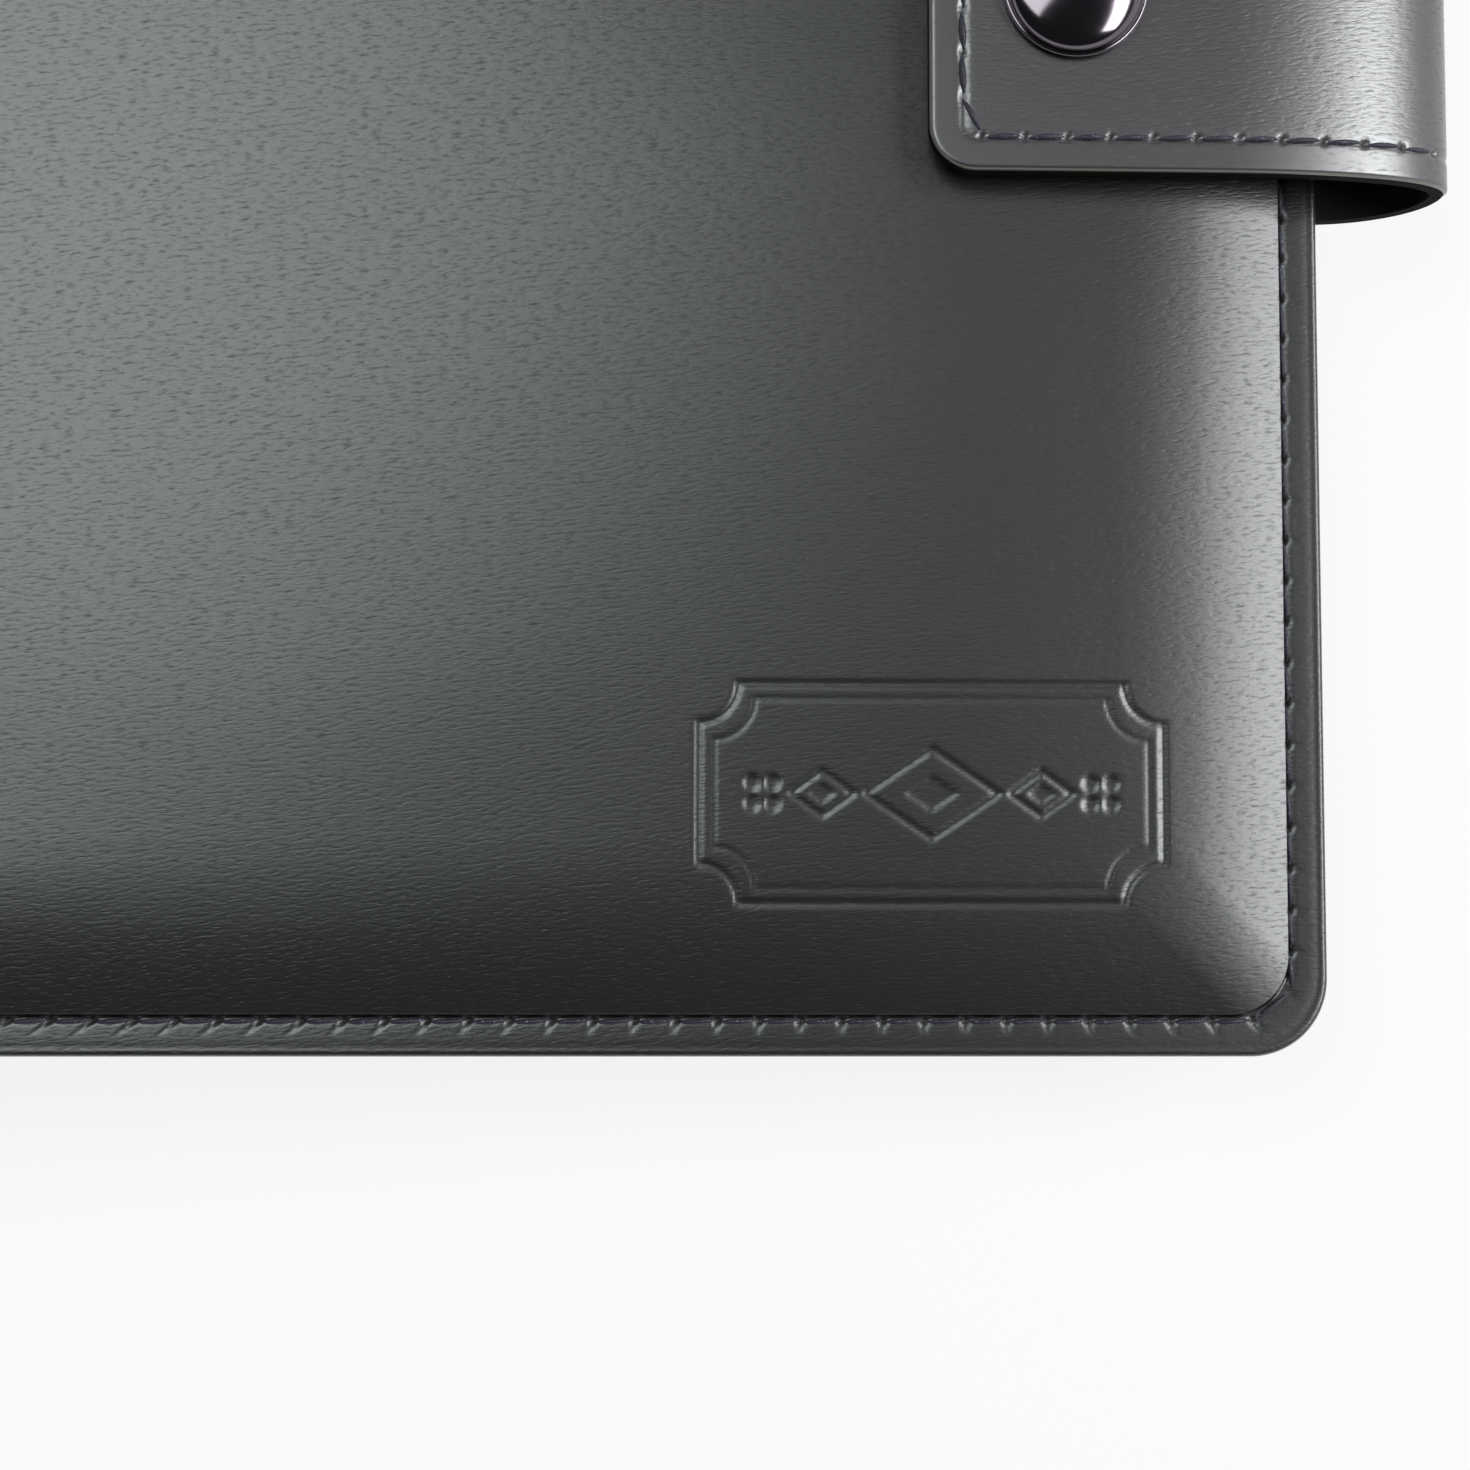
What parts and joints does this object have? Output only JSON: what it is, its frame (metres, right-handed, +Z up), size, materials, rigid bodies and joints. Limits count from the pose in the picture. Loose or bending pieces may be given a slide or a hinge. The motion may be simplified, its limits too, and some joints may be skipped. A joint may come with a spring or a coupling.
{
  "type": "ring folder for documents",
  "caption": "Closed padded leatherette document folder with sewn edges, an inside ring mechanism, pockets, and a strap that snaps round the fore-edge.",
  "frame": {"origin": "middle of the back cover's outer face, which the closed folder lies on", "axes": "+X from the spine to the fore-edge, +Y from the tail to the head, +Z up through the front cover"},
  "size_m": [0.192, 0.23, 0.0344],
  "materials": {
    "leatherette": "black grained leatherette, satin",
    "strap_lining": "smooth black leatherette",
    "lining_cloth": "black woven lining, matt",
    "board": "grey bookbinding board",
    "foam": "soft foam sheet",
    "dark_nickel": "polished black nickel",
    "bright_nickel": "bright nickel plate"
  },
  "bodies": {
    "back_cover": {"back_skin": "leatherette", "back_foam": "foam", "back_board": "board", "back_lining": "lining_cloth", "back_pocket": "lining_cloth", "strap_root_outer": "leatherette", "strap_root_lining": "strap_lining"},
    "spine": {"spine_skin": "leatherette", "spine_board": "board", "spine_lining": "lining_cloth", "ring_shield": "bright_nickel", "rivet_head": "bright_nickel", "rivet_tail": "bright_nickel"},
    "front_cover": {"front_skin": "leatherette", "front_foam": "foam", "front_board": "board", "front_lining": "lining_cloth", "front_pocket": "lining_cloth", "card_slot_1": "lining_cloth", "card_slot_2": "lining_cloth", "card_slot_3": "lining_cloth", "snap_stud": "dark_nickel", "snap_post": "dark_nickel"},
    "strap_bend": {"strap_bend_outer": "leatherette", "strap_bend_lining": "strap_lining"},
    "strap_flap": {"strap_flap_outer": "leatherette", "strap_flap_lining": "strap_lining", "snap_cap": "dark_nickel", "snap_socket": "dark_nickel"},
    "ring_bank_upper": {"blade_upper": "bright_nickel", "half_ring_upper_1": "bright_nickel", "half_ring_upper_2": "bright_nickel", "half_ring_upper_3": "bright_nickel", "half_ring_upper_4": "bright_nickel", "half_ring_upper_5": "bright_nickel", "half_ring_upper_6": "bright_nickel"},
    "ring_bank_lower": {"blade_lower": "bright_nickel", "half_ring_lower_1": "bright_nickel", "half_ring_lower_2": "bright_nickel", "half_ring_lower_3": "bright_nickel", "half_ring_lower_4": "bright_nickel", "half_ring_lower_5": "bright_nickel", "half_ring_lower_6": "bright_nickel"},
    "head_lever": {"lever_head": "bright_nickel"},
    "tail_lever": {"lever_tail": "bright_nickel"}
  },
  "joints": [
    {"name": "spine_fold", "type": "hinge", "parent": "back_cover", "child": "spine", "pos_m": [-0.09033, 0, 0.00437], "axis": [0, -1, 0], "range_deg": [0, 90]},
    {"name": "front_fold", "type": "hinge", "parent": "spine", "child": "front_cover", "pos_m": [-0.09033, 0, 0.03168], "axis": [0, -1, 0], "range_deg": [0, 95.1]},
    {"name": "strap_swing", "type": "hinge", "parent": "back_cover", "child": "strap_bend", "pos_m": [0.09758, 0, 0.00786], "axis": [0, 1, 0], "range_deg": [0, 80]},
    {"name": "strap_lift", "type": "hinge", "parent": "strap_bend", "child": "strap_flap", "pos_m": [0.09674, 0, 0.02279], "axis": [0, 1, 0], "range_deg": [0, 80]},
    {"name": "ring_open", "type": "hinge", "parent": "spine", "child": "ring_bank_upper", "pos_m": [-0.08625, 0, 0.0236], "axis": [0, -1, 0], "range_deg": [0, 22]},
    {"name": "ring_open_lower", "type": "hinge", "parent": "spine", "child": "ring_bank_lower", "pos_m": [-0.08625, 0, 0.012], "axis": [0, 1, 0], "range_deg": [0, 22]},
    {"name": "head_lever_press", "type": "hinge", "parent": "spine", "child": "head_lever", "pos_m": [-0.08545, 0.086, 0.0178], "axis": [0, 0, 1], "range_deg": [0, 12]},
    {"name": "tail_lever_press", "type": "hinge", "parent": "spine", "child": "tail_lever", "pos_m": [-0.08545, -0.086, 0.0178], "axis": [0, 0, -1], "range_deg": [0, 12]}
  ],
  "couplings": [
    {"joint": "strap_swing", "follows": "strap_lift", "ratio": 1},
    {"joint": "ring_open_lower", "follows": "ring_open", "ratio": 1},
    {"joint": "head_lever_press", "follows": "ring_open", "ratio": 0.545},
    {"joint": "tail_lever_press", "follows": "ring_open", "ratio": 0.545}
  ]
}
